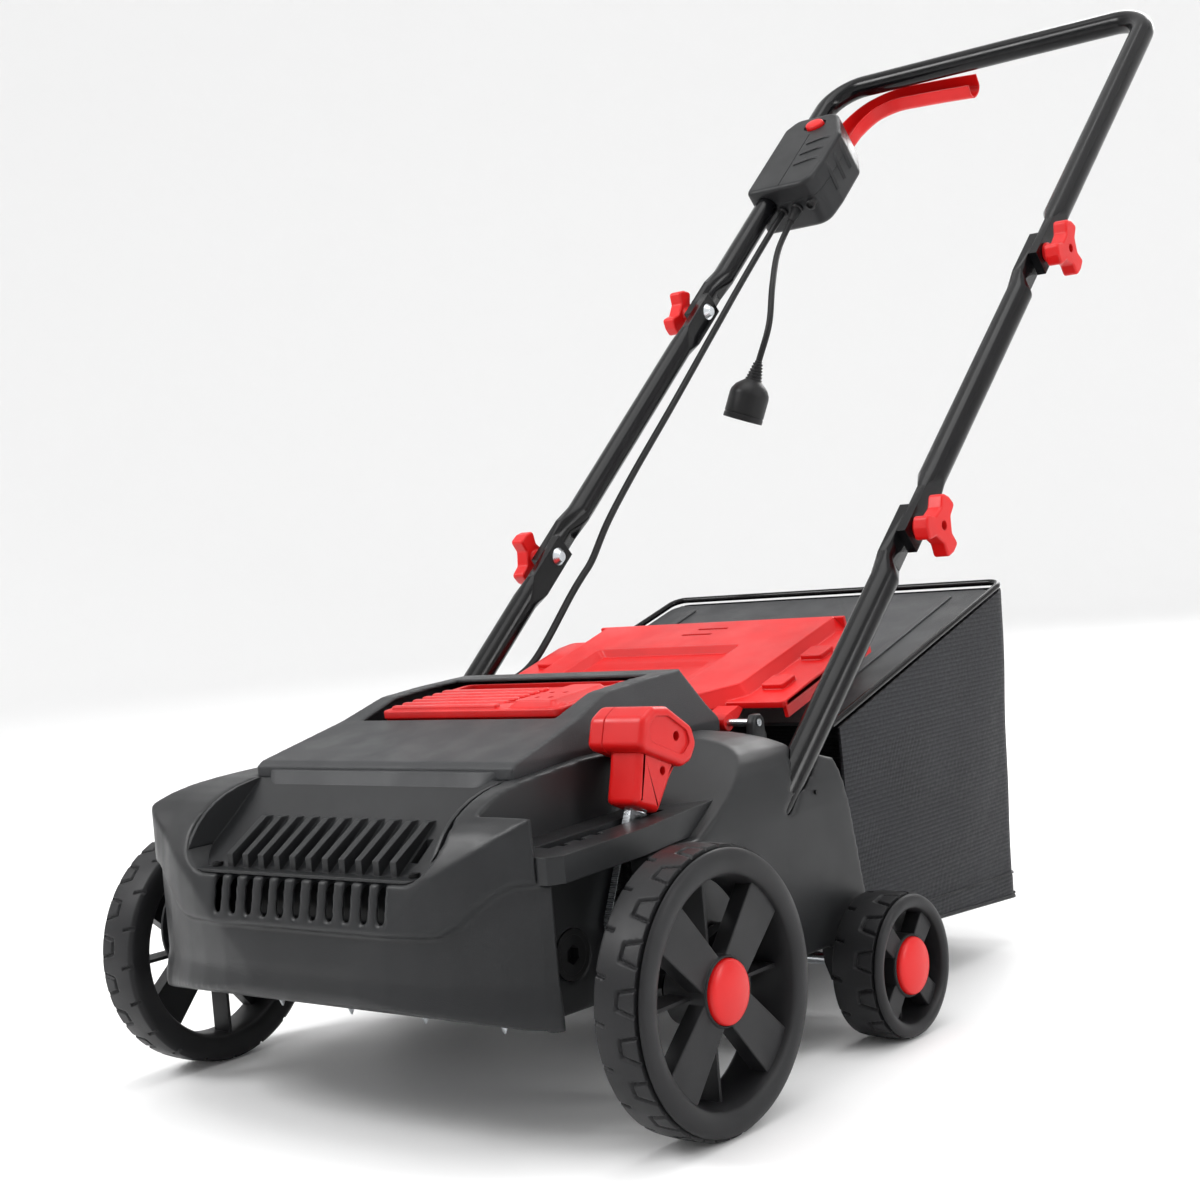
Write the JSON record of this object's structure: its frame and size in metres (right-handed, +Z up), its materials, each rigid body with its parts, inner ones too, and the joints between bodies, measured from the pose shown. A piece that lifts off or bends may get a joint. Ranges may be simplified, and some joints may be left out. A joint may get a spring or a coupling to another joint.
{
  "type": "lawn dethatcher",
  "caption": "Electric lawn dethatcher with a blade shaft under a moulded deck, depth lever, folding tube handle, lifting red flap and rear catcher bag.",
  "frame": {"origin": "on the ground, at the middle of the machine's width and length", "axes": "+Y from the nose to the handle, +X to the operator's right, +Z up"},
  "size_m": [0.5704, 1.2138, 0.947],
  "materials": {
    "deck_plastic": "satin dark grey moulding",
    "red_plastic": "glossy red moulding",
    "black_plastic": "matte black moulding",
    "wheel_plastic": "grained black moulding",
    "tube_paint": "glossy black powder coat",
    "bright_steel": "zinc plated",
    "motor_steel": "pressed steel",
    "black_rubber": "matte black",
    "bag_fabric": "woven black cloth",
    "bag_webbing": "woven black webbing"
  },
  "bodies": {
    "chassis": {"deck_shell": "deck_plastic", "hood": "deck_plastic", "front_grille": "deck_plastic", "carry_grip": "red_plastic", "lever_tray": "deck_plastic", "deck_screws": "bright_steel", "bearing_blocks": "black_plastic", "motor_can": "motor_steel", "motor_mounts": "motor_steel", "belt_cover": "deck_plastic", "drive_belt": "black_rubber", "crank_bushes": "black_plastic", "rear_brackets": "deck_plastic", "rear_axle": "bright_steel", "flap_rod": "bright_steel", "lower_tubes": "tube_paint", "lower_bolts": "bright_steel", "cable_gland": "black_plastic", "cable_low": "black_rubber"},
    "rotor": {"rotor_shaft": "bright_steel", "rotor_blades": "bright_steel", "rotor_hub": "bright_steel", "rotor_pulley": "black_plastic"},
    "armature": {"motor_shaft": "motor_steel", "motor_fan": "black_plastic"},
    "front_crank": {"crank_axle": "bright_steel"},
    "depth_lever": {"lever_arm": "bright_steel", "lever_grip": "red_plastic", "lever_spring": "bright_steel"},
    "front_wheel_right": {"wheel_front_right": "wheel_plastic", "cap_front_right": "red_plastic"},
    "front_wheel_left": {"wheel_front_left": "wheel_plastic", "cap_front_left": "red_plastic"},
    "rear_wheel_right": {"wheel_rear_right": "wheel_plastic", "cap_rear_right": "red_plastic"},
    "rear_wheel_left": {"wheel_rear_left": "wheel_plastic", "cap_rear_left": "red_plastic"},
    "flap": {"rear_flap": "red_plastic"},
    "bag": {"bag_cloth": "bag_fabric", "bag_frame": "tube_paint", "bag_panel": "deck_plastic", "bag_loop": "bag_webbing"},
    "mid_handle": {"mid_tubes": "tube_paint", "upper_bolts": "bright_steel", "cable_mid": "black_rubber"},
    "top_handle": {"handle_bar": "tube_paint", "switch_base": "deck_plastic", "switch_cover": "deck_plastic", "cable_top": "black_rubber", "mains_cord": "black_rubber", "mains_plug": "black_rubber"},
    "bail": {"bail_lever": "red_plastic"},
    "button": {"lock_button": "red_plastic"},
    "knob_low_right": {"knob_lower_right": "red_plastic"},
    "knob_low_left": {"knob_lower_left": "red_plastic"},
    "knob_top_right": {"knob_upper_right": "red_plastic"},
    "knob_top_left": {"knob_upper_left": "red_plastic"}
  },
  "joints": [
    {"name": "rotor_spin", "type": "hinge", "parent": "chassis", "child": "rotor", "pos_m": [0, -0.50539, 0.126], "axis": [1, 0, 0], "continuous": true},
    {"name": "motor_spin", "type": "hinge", "parent": "chassis", "child": "armature", "pos_m": [0, -0.36939, 0.216], "axis": [1, 0, 0], "continuous": true},
    {"name": "depth_crank", "type": "hinge", "parent": "chassis", "child": "front_crank", "pos_m": [0, -0.39739, 0.118], "axis": [1, 0, 0], "range_deg": [-50, 0]},
    {"name": "lever_swing", "type": "hinge", "parent": "chassis", "child": "depth_lever", "pos_m": [0.182, -0.46139, 0.14], "axis": [1, 0, 0], "range_deg": [0, 45]},
    {"name": "wheel_spin_front_right", "type": "hinge", "parent": "front_crank", "child": "front_wheel_right", "pos_m": [0.26, -0.46939, 0.1], "axis": [1, 0, 0], "continuous": true},
    {"name": "wheel_spin_front_left", "type": "hinge", "parent": "front_crank", "child": "front_wheel_left", "pos_m": [-0.26, -0.46939, 0.1], "axis": [1, 0, 0], "continuous": true},
    {"name": "wheel_spin_rear_right", "type": "hinge", "parent": "chassis", "child": "rear_wheel_right", "pos_m": [0.25, -0.20809, 0.0575], "axis": [1, 0, 0], "continuous": true},
    {"name": "wheel_spin_rear_left", "type": "hinge", "parent": "chassis", "child": "rear_wheel_left", "pos_m": [-0.25, -0.20809, 0.0575], "axis": [1, 0, 0], "continuous": true},
    {"name": "flap_hinge", "type": "hinge", "parent": "chassis", "child": "flap", "pos_m": [0, -0.24539, 0.255], "axis": [1, 0, 0], "range_deg": [0, 75]},
    {"name": "bag_slide", "type": "slide", "parent": "chassis", "child": "bag", "axis": [0, 1, 0], "range_m": [0, 0.15]},
    {"name": "handle_fold_low", "type": "hinge", "parent": "chassis", "child": "mid_handle", "pos_m": [0, -0.04823, 0.39813], "axis": [1, 0, 0], "range_deg": [0, 140]},
    {"name": "handle_fold_top", "type": "hinge", "parent": "mid_handle", "child": "top_handle", "pos_m": [0, 0.24302, 0.65221], "axis": [1, 0, 0], "range_deg": [-130, 0]},
    {"name": "bail_squeeze", "type": "hinge", "parent": "top_handle", "child": "bail", "pos_m": [-0.171, 0.52106, 0.87883], "axis": [0, -0.7536, -0.6574], "range_deg": [0, 7], "stiffness_Nm_per_rad": 4, "springref_deg": -14.32},
    {"name": "button_press", "type": "slide", "parent": "top_handle", "child": "button", "axis": [0, 0.6574, -0.7536], "range_m": [0, 0.005], "stiffness_N_per_m": 300, "springref_m": -0.004},
    {"name": "knob_turn_low_right", "type": "hinge", "parent": "chassis", "child": "knob_low_right", "pos_m": [0.222, -0.04823, 0.39813], "axis": [1, 0, 0], "continuous": true},
    {"name": "knob_turn_low_left", "type": "hinge", "parent": "chassis", "child": "knob_low_left", "pos_m": [-0.222, -0.04823, 0.39813], "axis": [1, 0, 0], "continuous": true},
    {"name": "knob_turn_top_right", "type": "hinge", "parent": "mid_handle", "child": "knob_top_right", "pos_m": [0.222, 0.24302, 0.65221], "axis": [1, 0, 0], "continuous": true},
    {"name": "knob_turn_top_left", "type": "hinge", "parent": "mid_handle", "child": "knob_top_left", "pos_m": [-0.222, 0.24302, 0.65221], "axis": [1, 0, 0], "continuous": true}
  ],
  "couplings": [
    {"joint": "motor_spin", "follows": "rotor_spin", "ratio": 2.3077},
    {"joint": "lever_swing", "follows": "depth_crank", "ratio": -0.9}
  ]
}
